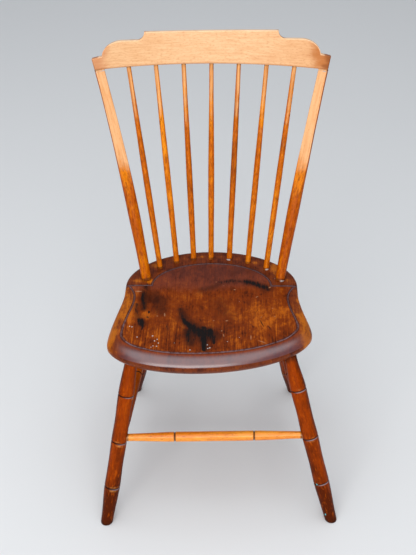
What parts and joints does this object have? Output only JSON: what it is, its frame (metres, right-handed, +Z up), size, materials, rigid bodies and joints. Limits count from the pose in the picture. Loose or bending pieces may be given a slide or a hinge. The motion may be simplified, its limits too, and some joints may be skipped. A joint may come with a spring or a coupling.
{
  "type": "rod-back windsor side chair",
  "caption": "Worn wooden side chair with a stepped, bent crest rail, a fan of slim rods, a carved plank seat and splayed bamboo-turned legs.",
  "frame": {"origin": "on the floor, in the middle of the chair's footprint as seen from above, which is the middle of its bounding box", "axes": "+Z up from the floor to the crest rail; +Y from the front of the seat towards the back; +X to the right of someone looking at the chair's front"},
  "size_m": [0.5139, 0.5547, 0.9012],
  "materials": {
    "seat_wood": "satin",
    "crest_wood": "satin",
    "turned_wood": "satin",
    "leg_wood": "satin",
    "stretcher_wood": "satin"
  },
  "bodies": {
    "root": {"seat": "seat_wood", "crest_rail": "crest_wood", "left_post": "turned_wood", "right_post": "turned_wood", "rod_1": "turned_wood", "rod_2": "turned_wood", "rod_3": "turned_wood", "rod_4": "turned_wood", "rod_5": "turned_wood", "rod_6": "turned_wood", "rod_7": "turned_wood", "front_left_leg": "leg_wood", "front_right_leg": "leg_wood", "rear_left_leg": "leg_wood", "rear_right_leg": "leg_wood", "front_stretcher": "stretcher_wood", "rear_stretcher": "stretcher_wood", "left_stretcher": "stretcher_wood", "right_stretcher": "stretcher_wood"}
  },
  "joints": []
}
